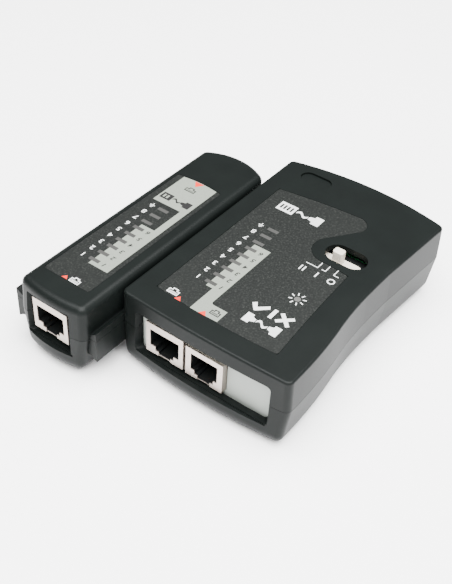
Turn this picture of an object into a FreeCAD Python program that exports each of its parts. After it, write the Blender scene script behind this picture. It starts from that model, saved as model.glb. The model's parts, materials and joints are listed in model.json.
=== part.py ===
import FreeCAD, Part
import math
import os
from types import SimpleNamespace
import PartDesign
import Sketcher
from FreeCAD import Placement, Rotation, Vector

# Network cable tester: a master unit and a remote unit docked on its left side.
# Frame: origin at the middle of the master's flat base, X to the right, Y towards the far
# end, Z up. The jack end faces -Y. All sizes are in millimetres.

doc = FreeCAD.newDocument("cable_tester")

SIZES = {
    # master case
    "case_tall": 31.5,
    "seam_up": 18.2,
    "case_half": 34.5,
    "flare": 0.5,
    "foot_half": 33.0,
    "front_corner": 54.0,
    "foot_near": 54.85,
    "far_corner": 49.9,
    "foot_far": 49.1,
    "front_bow": 0.9,
    "seam_bow": 2.35,
    "foot_bow": 2.4,
    "far_bow": 4.8,
    "waist_deep": 2.85,
    "waist_start": 46.0,
    "waist_low": 2.5,
    "waist_rise": 0.3,
    "waist_end": 13.7,
    "top_round": 0.9,
    "base_round": 6.2,
    "post_round": 2.5,
    "wall": 2.2,
    # jack bay of the master
    "bay_half": 28.0,
    "bay_inner": 26.2,
    "bay_low": 8.8,
    "bay_high": 26.0,
    "bay_face": 54.9,
    "panel_face": 51.9,
    "panel_thick": 1.4,
    "panel_low": 7.6,
    "panel_high": 27.2,
    "chin_up": 8.4,
    "chin_half": 27.6,
    "jack8_wide": 16.0,
    "jack8_tall": 13.4,
    "jack6_wide": 15.4,
    "jack6_tall": 12.8,
    "jack_deep": 17.6,
    "jack_skin": 0.4,
    "jack_face": 54.0,
    "rj45_x": -15.6,
    "rj45_low": 10.5,
    "rj11_x": 1.3,
    "rj11_low": 10.1,
    "contact_wire": 0.5,
    # face label of the master
    "label_thick": 0.3,
    "label_gap": 0.15,
    "light_x": -13.7,
    "light_y": -31.3,
    "light_pitch": 4.7,
    "light_long": 4.6,
    "light_wide": 1.6,
    "power_x": 14.1,
    "power_y": -19.4,
    "power_radius": 1.2,
    # slide switch
    "well_x": 15.2,
    "well_y": 10.8,
    "well_long": 16.4,
    "well_wide": 9.8,
    "knob_step": 3.3,
    "knob_long": 4.2,
    "knob_wide": 3.2,
    "knob_proud": 0.9,
    # board and battery of the master
    "board_low": 24.0,
    "board_thick": 1.6,
    "battery_long": 48.5,
    "battery_wide": 26.5,
    "battery_tall": 17.5,
    "battery_low": 2.5,
    "door_half": 25.0,
    "door_near": 16.0,
    "door_gap": 0.25,
    # remote unit
    "remote_x": -52.4,
    "remote_shift": 0.95,
    "remote_half": 14.7,
    "remote_flare": 0.4,
    "remote_foot_half": 11.9,
    "remote_near": 70.3,
    "remote_seam_near": 70.9,
    "remote_foot_near": 71.3,
    "remote_far": 32.6,
    "remote_foot_far": 32.0,
    "remote_bow": 1.8,
    "remote_seam_bow": 2.2,
    "remote_foot_bow": 2.0,
    "remote_far_bow": 4.9,
    "remote_round": 7.0,
    "remote_post_round": 3.1,
    "remote_top_round": 2.7,
    "remote_jack_low": 12.0,
    "remote_board_low": 25.5,
    "remote_light_y": -47.9,
    # dovetail rails on the remote
    "rail_near": 68.4,
    "rail_far": 28.0,
    "rail_middle": 15.2,
    "rail_neck": 9.6,
    "rail_wide": 13.0,
    "rail_reach": 18.8,
    "rail_thick": 2.5,
    "slot_gap": 0.3,
}

sheet = doc.addObject("Spreadsheet::Sheet", "dims")
for row, (alias, value) in enumerate(SIZES.items(), start=1):
    sheet.set(f"A{row}", alias)
    sheet.set(f"B{row}", str(value))
    sheet.setAlias(f"B{row}", alias)
doc.recompute()


class Size:
    """A number together with the spreadsheet formula that gives it."""

    def __init__(self, value, formula):
        self.value = value
        self.formula = formula

    def __add__(self, other):
        other = as_size(other)
        return Size(self.value + other.value, f"({self.formula} + {other.formula})")

    def __radd__(self, other):
        return as_size(other) + self

    def __sub__(self, other):
        other = as_size(other)
        return Size(self.value - other.value, f"({self.formula} - {other.formula})")

    def __rsub__(self, other):
        return as_size(other) - self

    def __mul__(self, other):
        other = as_size(other)
        return Size(self.value * other.value, f"({self.formula} * {other.formula})")

    def __rmul__(self, other):
        return as_size(other) * self

    def __truediv__(self, other):
        other = as_size(other)
        return Size(self.value / other.value, f"({self.formula} / {other.formula})")

    def __neg__(self):
        return Size(-self.value, f"(0 - {self.formula})")


def as_size(number):
    return number if isinstance(number, Size) else Size(float(number), repr(float(number)))


d = SimpleNamespace(**{alias: Size(float(sheet.get(alias)), f"dims.{alias}") for alias in SIZES})
nodes = []
count = 0


def fresh(kind, hint):
    """A new document object with a name that is used once."""
    global count
    count += 1
    return doc.addObject(kind, f"{hint}_{count}")


def bind(thing, prop, size):
    size = as_size(size)
    thing.setExpression(prop, size.formula)


def place(thing, x, y, z):
    for letter, size in zip("xyz", (x, y, z)):
        bind(thing, f"Placement.Base.{letter}", size)


def node(label, thing):
    """Give a finished sub-part its label, which is also its file name."""
    thing.Label = label
    nodes.append(thing)
    return thing


def box(x_low, x_high, y_low, y_high, z_low, z_high):
    block = fresh("Part::Box", "block")
    place(block, x_low, y_low, z_low)
    bind(block, "Length", as_size(x_high) - x_low)
    bind(block, "Width", as_size(y_high) - y_low)
    bind(block, "Height", as_size(z_high) - z_low)
    return block


TURNS = {
    "Z": Rotation(),
    "X": Rotation(Vector(0, 1, 0), 90),
    "Y": Rotation(Vector(1, 0, 0), -90),
}


def rod(x, y, z, radius, length, along="Z"):
    """A cylinder that starts at the point and runs along the named axis."""
    bar = fresh("Part::Cylinder", "rod")
    bar.Placement = Placement(Vector(), TURNS[along])
    place(bar, x, y, z)
    bind(bar, "Radius", radius)
    bind(bar, "Height", length)
    return bar


def cone(x, y, z, low_radius, high_radius, height):
    taper = fresh("Part::Cone", "cone")
    place(taper, x, y, z)
    bind(taper, "Radius1", low_radius)
    bind(taper, "Radius2", high_radius)
    bind(taper, "Height", height)
    return taper


def fuse(*parts):
    if len(parts) == 1:
        return parts[0]
    joined = fresh("Part::MultiFuse", "fuse")
    joined.Shapes = list(parts)
    return joined


def cut(base, *tools):
    result = fresh("Part::Cut", "cut")
    result.Base = base
    result.Tool = fuse(*tools)
    return result


def common(first, second):
    shared = fresh("Part::Common", "common")
    shared.Base = first
    shared.Tool = second
    return shared


def group(*parts):
    """Separate solids kept together as one node."""
    together = fresh("Part::Compound", "group")
    together.Links = list(parts)
    return together


# Each sketch plane, with the axis that its normal runs along. A sketch on the XZ plane has
# its normal towards -Y.
PLANES = {"XY": "XY_Plane", "XZ": "XZ_Plane", "YZ": "YZ_Plane"}


def new_body(hint):
    return fresh("PartDesign::Body", hint)


def bent_edge(start, end, radius):
    """An arc from start to end that bulges to the right of its direction for a positive
    radius. An arc runs anticlockwise in a sketch, so the other kind is stored backwards."""
    chord = end - start
    right = Vector(chord.y, -chord.x, 0).normalize()
    reach = math.sqrt(radius ** 2 - chord.Length ** 2 / 4)
    centre = (start + end) * 0.5 - right * math.copysign(reach, radius)
    first, last = (start, end) if radius > 0 else (end, start)
    turns = [math.atan2(p.y - centre.y, p.x - centre.x) for p in (first, last)]
    if turns[1] < turns[0]:
        turns[1] += 2 * math.pi
    circle = Part.Circle(centre, Vector(0, 0, 1), abs(radius))
    return Part.ArcOfCircle(circle, turns[0], turns[1])


def add_sketch(body, plane, level, points, radii=()):
    """A closed outline. radii[i] bends the edge that starts at point i: positive bulges to
    the right of its direction, negative to the left, and None is straight."""
    sketch = add_sketch_frame(body, plane, level)
    draw_outline(sketch, points, radii)
    return sketch


def add_sketch_frame(body, plane, level):
    """An empty sketch of the body, parallel to one of its origin planes."""
    sketch = body.newObject("Sketcher::SketchObject", f"{body.Name}_sketch")
    origin = next(o for o in body.Origin.OriginFeatures if o.Role == PLANES[plane])
    sketch.AttachmentSupport = [(origin, "")]
    sketch.MapMode = "FlatFace"
    bind(sketch, "AttachmentOffset.Base.z", level)
    return sketch


def draw_outline(sketch, points, radii=()):
    """Fill a sketch with a closed outline whose corners and radii come from the sheet."""
    corners = [Vector(as_size(u).value, as_size(v).value, 0) for u, v in points]
    total = len(points)
    bends = list(radii) + [None] * (total - len(radii))
    ends = []
    for i, bend in enumerate(bends):
        start, end = corners[i], corners[(i + 1) % total]
        if bend is None:
            sketch.addGeometry(Part.LineSegment(start, end), False)
            ends.append((1, 2))
            continue
        sketch.addGeometry(bent_edge(start, end, as_size(bend).value), False)
        ends.append((1, 2) if as_size(bend).value > 0 else (2, 1))
    for i in range(total):
        follower = (i + 1) % total
        join = Sketcher.Constraint("Coincident", i, ends[i][1], follower, ends[follower][0])
        sketch.addConstraint(join)
    for i, (u, v) in enumerate(points):
        for kind, size in (("DistanceX", as_size(u)), ("DistanceY", as_size(v))):
            fixed = Sketcher.Constraint(kind, -1, 1, i, ends[i][0], size.value)
            index = sketch.addConstraint(fixed)
            sketch.setExpression(f"Constraints[{index}]", size.formula)
    for i, bend in enumerate(bends):
        if bend is not None:
            size = as_size(bend)
            length = size if size.value > 0 else -size
            index = sketch.addConstraint(Sketcher.Constraint("Radius", i, length.value))
            sketch.setExpression(f"Constraints[{index}]", length.formula)


def slab(points, low, high, plane="XY", radii=()):
    """A prism of the outline between two levels along the plane's axis."""
    body = new_body("slab")
    level = -as_size(high) if plane == "XZ" else low
    pad = body.newObject("PartDesign::Pad", f"{body.Name}_pad")
    pad.Profile = add_sketch(body, plane, level, points, radii)
    bind(pad, "Length", as_size(high) - low)
    body.Tip = pad
    return body


def loft(*sections):
    """A solid with straight sides between outlines that have the same corners."""
    body = new_body("sections")
    shape = fresh("Part::Loft", "loft")
    shape.Sections = [add_sketch(body, "XY", level, points, radii)
                      for (points, radii), level in sections]
    shape.Solid = True
    shape.Ruled = True
    return shape


def round_edges(thing, radius, chosen):
    """Fillet the edges that the test picks from their bounding boxes."""
    doc.recompute()
    fillet = fresh("Part::Fillet", "fillet")
    fillet.Base = thing
    fillet.Edges = [(i, radius.value, radius.value)
                    for i, edge in enumerate(thing.Shape.Edges, start=1)
                    if chosen(edge.BoundBox)]
    return fillet


def wire_run(level, points, bends, radius):
    """A round wire in the upright plane X = level. It starts upwards or downwards from the
    first (y, z) point, and each corner is replaced by a tangent arc of the given radius."""
    body = new_body("run")
    sketch = add_sketch_frame(body, "YZ", level)
    corners = [Vector(as_size(u).value, as_size(v).value, 0) for u, v in points]
    start = corners[0]
    for before, corner, after, bend in zip(corners, corners[1:], corners[2:], bends):
        arrive = (corner - before).normalize()
        leave = (after - corner).normalize()
        turn = arrive.getAngle(leave)
        trim = bend * math.tan(turn / 2)
        first, last = corner - arrive * trim, corner + leave * trim
        clockwise = arrive.cross(leave).z < 0
        sketch.addGeometry(Part.LineSegment(start, first), False)
        sketch.addGeometry(bent_edge(first, last, -bend if clockwise else bend), False)
        start = last
    sketch.addGeometry(Part.LineSegment(start, corners[-1]), False)
    ring = fresh("Part::Circle", "ring")
    place(ring, level, points[0][0], points[0][1])
    bind(ring, "Radius", radius)
    doc.recompute()
    sweep = fresh("Part::Sweep", "sweep")
    sweep.Sections = [ring]
    sweep.Spine = (sketch, [f"Edge{i + 1}" for i in range(len(sketch.Shape.Edges))])
    sweep.Solid = True
    return sweep


def stadium(x, y, long, wide, low, high):
    """An upright slab with round ends, long in X."""
    radius = as_size(wide) / 2
    reach = as_size(long) / 2 - radius
    bar = box(x - reach, x + reach, y - radius, y + radius, low, high)
    ends = [rod(x + side * reach, y, low, radius, as_size(high) - low) for side in (-1, 1)]
    return fuse(bar, *ends)


# ---------------------------------------------------------------- case of the master unit

def bow_radius(chord, bow):
    return (chord * chord / 4 + bow * bow) / (2 * bow)


def case_outline(half, near, bow, far, inset=0.0):
    """The master seen from above: bowed ends, a straight left side and a waisted right."""
    inset = as_size(inset)
    left = inset - half
    right = half - inset
    run = d.waist_start - d.waist_low
    share = 0.56
    sum_radius = (d.waist_deep * d.waist_deep + run * run) / (2 * d.waist_deep)
    low_x = right - d.waist_deep
    rise_run = d.waist_end + d.waist_low
    rise_radius = (d.waist_rise * d.waist_rise + rise_run * rise_run) / (2 * d.waist_rise)
    points = [
        (left, inset - near),
        (right, inset - near),
        (right, -d.waist_start),
        (right - d.waist_deep * share, run * share - d.waist_start),
        (low_x, -d.waist_low),
        (low_x + d.waist_rise, d.waist_end),
        (right, far - inset),
        (left, far - inset),
    ]
    wide = right - left
    radii = [bow_radius(wide, bow), None, sum_radius * share, -(sum_radius * (1 - share)),
             -rise_radius, None, bow_radius(wide, d.far_bow), None]
    return points, radii


seam_half = d.case_half + d.flare
seam_near = d.front_corner - 0.2
below_seam = d.seam_up - 0.15


def is_post(bounds):
    """An upright corner edge of the master's case."""
    upright = bounds.ZLength > 8.0 and abs(bounds.Center.x) > 31.0
    return upright and not -52.0 < bounds.Center.y < 45.0


def is_top(bounds):
    return bounds.ZMin > SIZES["case_tall"] - 0.01


def is_base(bounds):
    return bounds.ZMax < 0.01


# Each base is rounded a little too deep and then ground flat, which leaves a clean rim.
GROUND_OFF = 0.2


def ground_flat(block):
    return cut(block, box(-100, 60, -100, 80, -5, 0))


def master_blank_top():
    low = case_outline(seam_half, seam_near, d.seam_bow, d.far_corner)
    high = case_outline(d.case_half, d.front_corner, d.front_bow, d.far_corner)
    block = loft((low, d.seam_up), (high, d.case_tall))
    block = round_edges(block, d.post_round, is_post)
    return round_edges(block, d.top_round, is_top)


def master_blank_base():
    high = case_outline(seam_half, seam_near, d.seam_bow, d.far_corner)
    low = case_outline(d.foot_half, d.foot_near, d.foot_bow, d.foot_far)
    block = loft((high, below_seam), (low, -GROUND_OFF))
    block = round_edges(block, d.base_round, is_base)
    return ground_flat(round_edges(block, d.post_round, is_post))


def case_slab(inset, low, high, narrower=0.0):
    """The master's outline, moved in from its walls, as an upright slab. Its sides can be
    moved in further than its ends."""
    half = d.case_half - narrower
    points, radii = case_outline(half, d.front_corner, d.front_bow, d.far_corner, inset)
    return slab(points, low, high, radii=radii)


def bay_cutter():
    """The flared opening in the front wall that the jacks and the end panel sit in."""
    slope = (d.bay_half - d.bay_inner) / (d.bay_face - d.panel_face)
    mouth = d.bay_half + slope * 6.0
    points = [(-mouth, -d.bay_face - 6.0), (mouth, -d.bay_face - 6.0),
              (d.bay_inner, -d.panel_face + 0.6), (-d.bay_inner, -d.panel_face + 0.6)]
    return round_edges(slab(points, d.bay_low, d.bay_high), as_size(1.6), runs_inwards)


def runs_inwards(bounds):
    """A corner edge of a bay, which runs from the mouth to the back."""
    return bounds.YLength > 5.0 and bounds.ZLength < 0.01 and bounds.XLength > 0.5


def dovetail(side, root, narrow, tip, wide, near, far):
    """A rail or its slot along Y: narrow from root to narrow's end, then widening to tip."""
    root_x, neck_x, tip_x = (side * as_size(v) for v in (root, narrow[0], tip))
    low, high = d.rail_middle - narrow[1], d.rail_middle + narrow[1]
    points = [(root_x, low), (neck_x, low), (tip_x, d.rail_middle - wide),
              (tip_x, d.rail_middle + wide), (neck_x, high), (root_x, high)]
    moved = [(d.remote_x + x, z) for x, z in points]
    return slab(moved, near, far, plane="XZ")


SLOT_END = 18.3
NECK_GAP, TIP_GAP = 0.4, 0.6
slot_far = d.rail_far + SLOT_END
slot_cutter = dovetail(1, d.rail_reach - 6.5,
                       (d.rail_reach - d.rail_thick, d.rail_neck / 2 + NECK_GAP),
                       d.rail_reach + d.slot_gap, d.rail_wide / 2 + TIP_GAP, -70.0, slot_far)
slot_housing = box(-seam_half + 0.05, -29.9, -52.2, slot_far + 1.6, 6.4, 23.9)

# Screw posts of the master: left and right of the jacks, and in front of the battery.
CASE_POSTS = [(-26.7, -44.0), (24.6, -44.0), (-26.0, 13.6), (24.6, 1.6)]
BOARD_POSTS = [(-22.5, -4.0), (20.5, -22.0)]
POST_RADIUS = 2.9
HEAD_RADIUS = 2.2
SHANK_RADIUS = 1.2
HEAD_SEAT = 9.0
board_high = d.board_low + d.board_thick
roof = d.case_tall - d.wall


def label_outline(inset):
    """The face label: a bowed near edge, and a far part that curls round the switch well."""
    i = as_size(inset)
    points = [
        (i - 26.7, i - 44.9), (23.9 - i, i - 45.6), (21.3 - i, 2.1 - i), (10.6, 3.0 - i),
        (3.5 - i, 14.9), (11.1 - i, 25.6), (7.6, 34.2 - i), (i - 27.0, 29.9 - i),
    ]
    radii = [bow_radius(50.6, 1.1), -700.0, None, -(7.5 + i), None, 5.2 - i, 240.0]
    return points, radii


def label_slab(inset, low, high):
    points, radii = label_outline(inset)
    return slab(points, low, high, radii=radii)


light_spots = [d.light_y + d.light_pitch * i for i in range(9)]
remote_light_spots = [d.remote_light_y + d.light_pitch * i for i in range(9)]
label_low = d.case_tall - 0.35


def light_boxes(x, spots, long, wide, low, high):
    return [box(x - as_size(long) / 2, x + as_size(long) / 2,
                y - as_size(wide) / 2, y + as_size(wide) / 2, low, high) for y in spots]


def light_slots(x, spots, low, high):
    return light_boxes(x, spots, d.light_long + 0.8, d.light_wide + 0.9, low, high)


top_posts = [rod(x, y, board_high + 0.05, POST_RADIUS, d.case_tall - board_high - 1.0)
             for x, y in CASE_POSTS]
top_pilots = [rod(x, y, board_high - 1.0, SHANK_RADIUS + 0.05, 4.4) for x, y in CASE_POSTS]
upper_slot_housing = common(slot_housing, box(-40, 0, -60, 60, d.seam_up, 30))
top_hollow = case_slab(d.wall, d.seam_up - 1.0, roof)
rebate = case_slab(d.wall / 2 - 0.1, d.seam_up - 1.0, d.seam_up + 1.4)
top_walls = cut(master_blank_top(), top_hollow, rebate)
master_top_shell = cut(
    fuse(top_walls, upper_slot_housing, *top_posts),
    bay_cutter(),
    slot_cutter,
    label_slab(0.0, label_low, d.case_tall + 1.0),
    *light_slots(d.light_x, light_spots, roof - 1.0, d.case_tall),
    rod(d.power_x, d.power_y, roof - 1.0, 1.75, 3.0),
    stadium(d.well_x, d.well_y, d.well_long, d.well_wide, roof - 1.0, d.case_tall + 1.0),
    stadium(-19.0, 44.0, 13.4, 6.8, d.case_tall - 0.8, d.case_tall + 1.0),
    *top_pilots,
)
node("master_top_shell", master_top_shell)

# Lower shell: floor, walls, a lip that fills the seam from inside, posts and battery ribs.
SIDE_WALL_EXTRA = 0.6
base_hollow = fuse(case_slab(d.wall, 5.4, d.seam_up + 1.0, SIDE_WALL_EXTRA),
                   case_slab(d.wall + 3.2, d.wall, 5.5))
lip_ring = cut(case_slab(d.wall / 2 + 0.1, d.seam_up - 2.0, d.seam_up + 1.2),
               case_slab(d.wall, d.seam_up - 3.0, d.seam_up + 2.0, SIDE_WALL_EXTRA),
               box(-40, -29.0, -52.6, slot_far + 2.0, below_seam, 30))
base_posts = [rod(x, y, 2.0, POST_RADIUS, d.board_low - 2.0)
              for x, y in CASE_POSTS + BOARD_POSTS]
board_pilots = [rod(x, y, 12.0, SHANK_RADIUS + 0.05, 20.0) for x, y in BOARD_POSTS]
screw_bores = [rod(x, y, -1.0, HEAD_RADIUS, HEAD_SEAT + 1.0) for x, y in CASE_POSTS]
screw_holes = [rod(x, y, 0.0, SHANK_RADIUS + 0.2, 30.0) for x, y in CASE_POSTS]
lower_slot_housing = common(slot_housing, box(-40, 0, -60, 60, 0, below_seam))
battery_rib = box(-27.5, 20.0, 16.6, 18.1, 1.0, 13.0)

door_far = 47.0
DOOR_HIGH = 5.3
door_space = fuse(box(-d.door_half, d.door_half, d.door_near, door_far, -1.0, d.wall + 0.1),
                  box(-d.door_half - 2.0, d.door_half + 2.0, door_far, 60.0, -1.0, DOOR_HIGH))
door_grooves = [box(side * d.door_half - 1.8, side * d.door_half + 1.8, d.door_near + 1.5,
                    door_far + 1.0, 0.8, 2.0) for side in (-1, 1)]
chin_notch = box(-d.chin_half, d.chin_half, -62.0, -d.bay_face + 0.1,
                 d.chin_up, d.bay_low + 1.0)
base_walls = cut(master_blank_base(), base_hollow)
master_bottom_shell = cut(
    fuse(base_walls, lip_ring, lower_slot_housing, battery_rib, *base_posts),
    bay_cutter(),
    slot_cutter,
    chin_notch,
    door_space,
    *door_grooves,
    *screw_bores,
    *screw_holes,
    *board_pilots,
)
node("master_bottom_shell", master_bottom_shell)


def battery_door():
    """A floor plate with side tongues and a curled rim under the far wall."""
    gap = d.door_gap
    plate = box(gap - d.door_half, d.door_half - gap, d.door_near + gap, door_far + 1.0,
                -1.0, d.wall)
    rim = box(gap - d.door_half - 2.0, d.door_half + 2.0 - gap, door_far + gap, 60.0,
              -1.0, DOOR_HIGH - gap)
    skin = cut(common(master_blank_base(), fuse(plate, rim)),
               case_slab(d.wall + 3.2, d.wall - 0.01, 7.0))
    tongues = [box(side * d.door_half - 1.4, side * d.door_half + 1.4, d.door_near + 2.0,
                   door_far - 0.5, 0.95, 1.85) for side in (-1, 1)]
    ribs = [box(-11.0, 11.0, 24.0 + 2.2 * i, 25.0 + 2.2 * i, -0.2, 0.35) for i in range(5)]
    return cut(fuse(skin, *tongues), *ribs)


node("battery_door", battery_door())

# ---------------------------------------------------------- face label and light windows

def is_label_corner(bounds):
    """One of the four outer corners of the master's label."""
    x, y = bounds.Center.x, bounds.Center.y
    return bounds.ZLength > 0.2 and bounds.XLength < 0.01 and (x < -20 or (x > 20 and y < 5))


def master_label_blank(inset, low, high):
    return round_edges(label_slab(inset, low, high), as_size(1.2), is_label_corner)


label_high = label_low + d.label_thick
fit = 0.04
label_windows = light_boxes(d.light_x, light_spots, d.light_long + fit, d.light_wide + fit,
                            label_low - 1.0, label_high + 1.0)
node("master_label", cut(
    master_label_blank(d.label_gap, label_low, label_high),
    *label_windows,
    rod(d.power_x, d.power_y, label_low - 1.0, d.power_radius + fit, 3.0),
))
node("master_light_windows", group(*light_boxes(
    d.light_x, light_spots, d.light_long, d.light_wide, label_low, label_high)))
node("master_power_window", rod(d.power_x, d.power_y, label_low, d.power_radius, d.label_thick))


# ------------------------------------------------------------------------- modular jacks

class Jack:
    """A shielded modular jack that hangs under a circuit board. Its mouth faces away from
    the unit, its latch side is down, and its contacts reach up into the board."""

    def __init__(self, prefix, kind, x, low, face, inward, board_low):
        self.prefix = prefix
        self.wall = kind.wide / 2
        self.tall = kind.tall
        self.half = kind.plug_half
        self.wires = kind.wires
        self.x = as_size(x)
        self.low = as_size(low)
        self.face = as_size(face)
        self.inward = inward
        self.board_low = board_low
        self.board_top = board_low + d.board_thick

    def depths(self, near, far):
        """Two distances behind the mouth as a low and a high Y."""
        ends = [self.face + self.inward * as_size(v) for v in (near, far)]
        return ends if self.inward > 0 else ends[::-1]

    def block(self, half, near, far, low, high):
        y_low, y_high = self.depths(near, far)
        half = as_size(half)
        return box(self.x - half, self.x + half, y_low, y_high, self.low + low, self.low + high)

    def plug_hole(self, near, far, floor):
        """Room for the plug, a step under it, and the slot for the plug's latch."""
        return fuse(self.block(self.half, near, far, 3.4, 10.6),
                    self.block(4.0, near, far, 1.7, 3.5),
                    self.block(2.6, near, far, floor, 1.8))

    def tail_spots(self):
        """X of every contact."""
        return [self.x + 1.02 * (i - (self.wires - 1) / 2) for i in range(self.wires)]

    def tail_depth(self, i):
        """The solder tails stand in two staggered rows."""
        return 14.0 + 1.9 * (i % 2)

    def tabs(self):
        """Two strips of the shield that stand up to the board where the jack is lower."""
        reach = self.board_low - 0.1 - self.low
        y_low, y_high = self.depths(8.0, 11.0)
        sides = [(self.x - self.wall, self.x - self.wall + d.jack_skin),
                 (self.x + self.wall - d.jack_skin, self.x + self.wall)]
        return [box(x_low, x_high, y_low, y_high, self.low + self.tall - 2.0, self.low + reach)
                for x_low, x_high in sides]

    def shield(self):
        skin = d.jack_skin
        wall = self.wall
        shell = cut(self.block(wall, 0.0, d.jack_deep, 0.0, self.tall),
                    self.block(wall - skin, skin, d.jack_deep - skin, skin, self.tall - skin))
        tails = self.block(wall - 3.0, 12.0, 17.0, self.tall - 1.0, self.tall + 1.0)
        return cut(fuse(shell, *self.tabs()), self.plug_hole(-1.0, 0.4, -1.0), tails)

    def insert(self):
        inner = d.jack_skin + 0.05
        body = self.block(self.wall - inner - 0.05, inner, d.jack_deep - inner, inner,
                          self.tall - inner)
        return cut(body, self.plug_hole(-1.0, 13.0, 0.8))

    def contacts(self):
        wires = []
        for i, x in enumerate(self.tail_spots()):
            tail, front, tip = (self.face + self.inward * v
                                for v in (self.tail_depth(i), 1.4, 11.4))
            low = self.low
            path = [(tail, self.board_top + 0.7), (tail, low + 11.7), (front, low + 11.7),
                    (tip, low + 8.2)]
            wires.append(wire_run(x, path, (0.6, 0.45), d.contact_wire / 2))
        return group(*wires)

    def board_holes(self):
        holes = []
        for i, x in enumerate(self.tail_spots()):
            y = self.face + self.inward * self.tail_depth(i)
            holes.append(rod(x, y, self.board_top - 5.0, d.contact_wire / 2 + 0.1, 10.0))
        return holes

    def build(self):
        node(f"{self.prefix}_shield", self.shield())
        node(f"{self.prefix}_insert", self.insert())
        node(f"{self.prefix}_contacts", self.contacts())


RJ45 = SimpleNamespace(wide=d.jack8_wide, tall=d.jack8_tall, plug_half=6.2, wires=8)
RJ11 = SimpleNamespace(wide=d.jack6_wide, tall=d.jack6_tall, plug_half=5.5, wires=6)
master_jacks = [
    Jack("master_rj45", RJ45, d.rj45_x, d.rj45_low, -d.jack_face, 1, d.board_low),
    Jack("master_rj11", RJ11, d.rj11_x, d.rj11_low, -d.jack_face, 1, d.board_low),
]
for jack in master_jacks:
    jack.build()

WINDOW_GAP = 0.25
jack_windows = [box(jack.x - jack.wall - WINDOW_GAP, jack.x + jack.wall + WINDOW_GAP, -60.0, -40.0,
                    jack.low - WINDOW_GAP, jack.low + jack.tall + WINDOW_GAP)
                for jack in master_jacks]
end_panel = box(-29.5, 29.5, -d.panel_face + 0.4, -d.panel_face + 0.4 + d.panel_thick,
                d.panel_low, d.panel_high)
node("master_end_panel", cut(end_panel, *jack_windows))


# ---------------------------------------------------------- circuit board and its pieces

def light_array(x, spots, board_top):
    """A light bar: one plastic body on the board with a raised light for every window."""
    half = d.light_long / 2 + 0.2
    body_tall = 2.0
    base = box(x - half - 0.6, x + half + 0.6, spots[0] - 2.2, spots[-1] + 2.2,
               board_top, board_top + body_tall)
    lights = light_boxes(x, spots, d.light_long + 0.4, d.light_wide + 0.4,
                         board_top + body_tall - 0.4, label_low)
    return fuse(base, *lights)


def axial_part(x, y, board_top, body_radius, body_long, along):
    """A resistor or diode: a small barrel with a bent wire at each end, on the board."""
    height = board_top + body_radius + 0.15
    reach = body_long / 2 + 1.3
    wire = 0.3
    if along == "X":
        barrel = rod(x - body_long / 2, y, height, body_radius, body_long, "X")
        cross = rod(x - reach, y, height, wire, reach * 2, "X")
        feet = [(x - reach, y), (x + reach, y)]
    else:
        barrel = rod(x, y - body_long / 2, height, body_radius, body_long, "Y")
        cross = rod(x, y - reach, height, wire, reach * 2, "Y")
        feet = [(x, y - reach), (x, y + reach)]
    legs = [rod(u, v, board_top, wire, body_radius + 0.15) for u, v in feet]
    caps = []
    for u, v in feet:
        ball = fresh("Part::Sphere", "ball")
        place(ball, u, v, height)
        bind(ball, "Radius", wire)
        caps.append(ball)
    return fuse(barrel, cross, *legs, *caps)


switch_y = d.well_y + 0.4
SWITCH_PINS = [(x, y) for x in (-4.0, 0.0, 4.0) for y in (-4.4, 4.4)]
switch_pin_spots = [(d.well_x + x, switch_y + y) for x, y in SWITCH_PINS]

board = box(-31.0, 27.0, -d.panel_face + 0.4 + d.panel_thick, 46.0, d.board_low, board_high)
board_notch = box(24.0, 30.0, 18.0, 48.0, d.board_low - 1.0, board_high + 1.0)
screw_spots = CASE_POSTS + BOARD_POSTS
node("master_circuit_board", cut(
    board,
    board_notch,
    *[rod(x, y, d.board_low - 1.0, SHANK_RADIUS + 0.2, 5.0) for x, y in screw_spots],
    *[hole for jack in master_jacks for hole in jack.board_holes()],
    *[rod(x, y, d.board_low - 1.0, 0.5, 5.0) for x, y in switch_pin_spots],
))

node("master_status_leds", light_array(d.light_x, light_spots, board_high))
power_stem = rod(d.power_x, d.power_y, board_high, 1.5, 4.2)
power_dome = cone(d.power_x, d.power_y, board_high + 4.2, 1.5, 0.9, label_low - board_high - 4.2)
node("master_power_led", fuse(power_stem, power_dome,
                              rod(d.power_x, d.power_y, board_high, 1.9, 0.8)))

CHIP_X, CHIP_Y = 1.6, -20.0
CHIP_LONG, CHIP_WIDE = 10.2, 6.2
chip_low, chip_high = board_high + 0.3, board_high + 2.7
chip_body = box(CHIP_X - CHIP_LONG / 2, CHIP_X + CHIP_LONG / 2,
                CHIP_Y - CHIP_WIDE / 2, CHIP_Y + CHIP_WIDE / 2, chip_low, chip_high)
node("master_control_chip", cut(chip_body, rod(CHIP_X - 3.8, CHIP_Y - 1.9, chip_high - 0.2,
                                               0.6, 1.0)))


def chip_leg(x, side):
    """A bent strip from the side of the chip down to the board."""
    inner = CHIP_Y + side * CHIP_WIDE / 2
    outer = inner + side * 0.9
    toe = outer + side * 0.7
    arm = box(x - 0.2, x + 0.2, min(inner, outer), max(inner, outer), board_high + 1.3,
              board_high + 1.6)
    drop = box(x - 0.2, x + 0.2, min(outer, outer - side * 0.3), max(outer, outer - side * 0.3),
               board_high, board_high + 1.6)
    foot = box(x - 0.2, x + 0.2, min(outer, toe) - 0.1, max(outer, toe), board_high,
               board_high + 0.25)
    return fuse(arm, drop, foot)


LEG_STEPS = [1.27 * (i - 3) for i in range(7)]
node("master_chip_legs", group(*[chip_leg(CHIP_X + step, side)
                                 for side in (-1, 1) for step in LEG_STEPS]))

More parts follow.
